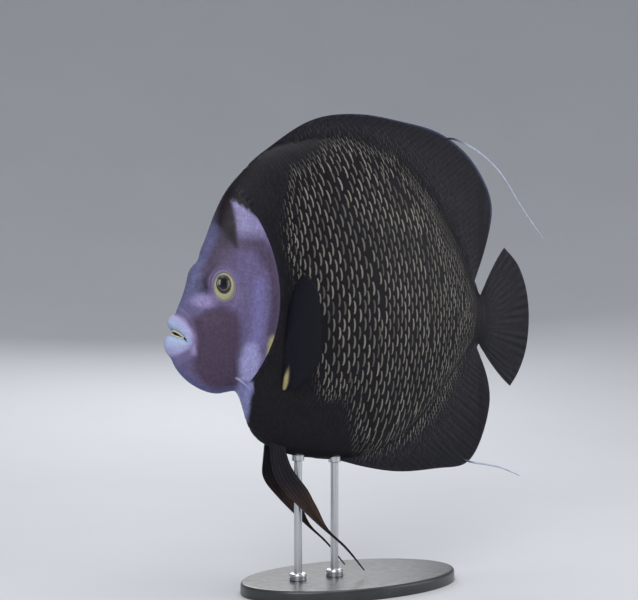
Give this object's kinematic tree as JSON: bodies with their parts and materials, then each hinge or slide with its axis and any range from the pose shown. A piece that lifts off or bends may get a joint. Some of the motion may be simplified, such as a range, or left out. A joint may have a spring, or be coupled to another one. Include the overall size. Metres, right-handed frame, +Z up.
{
  "type": "french angelfish display model",
  "caption": "Life-size still model of an adult French angelfish, swimming level, held by rods on a flat oval base.",
  "frame": {"origin": "middle of the base's underside, on the floor", "axes": "+Z up, the head points to -X and the tail to +X, the fish's left flank faces -Y"},
  "size_m": [0.3611, 0.112, 0.3625],
  "materials": {
    "face_skin": "moist satin skin",
    "lip_skin": "moist satin skin",
    "body_scales": "satin scales with pale rims",
    "fin_skin": "satin fin membrane",
    "pelvic_skin": "satin fin membrane",
    "streamer": "satin",
    "eye": "clear cornea over a pale yellow ring and a dark pupil",
    "stand_rod": "brushed",
    "stand_base": "satin black"
  },
  "bodies": {
    "root": {"head": "face_skin", "lower_jaw": "face_skin", "gill_cover_left": "face_skin", "gill_cover_right": "face_skin", "upper_lip": "lip_skin", "lower_lip": "lip_skin", "eye_left": "eye", "eye_right": "eye", "trunk": "body_scales", "tail_stem": "body_scales", "dorsal_fin": "fin_skin", "anal_fin": "fin_skin", "tail_fin": "fin_skin", "pectoral_fin_left": "fin_skin", "pectoral_fin_right": "fin_skin", "pelvic_fin_left": "pelvic_skin", "pelvic_fin_right": "pelvic_skin", "dorsal_streamer": "streamer", "anal_streamer": "streamer", "stand_rod_front": "stand_rod", "stand_rod_rear": "stand_rod", "stand_base": "stand_base"}
  },
  "joints": []
}
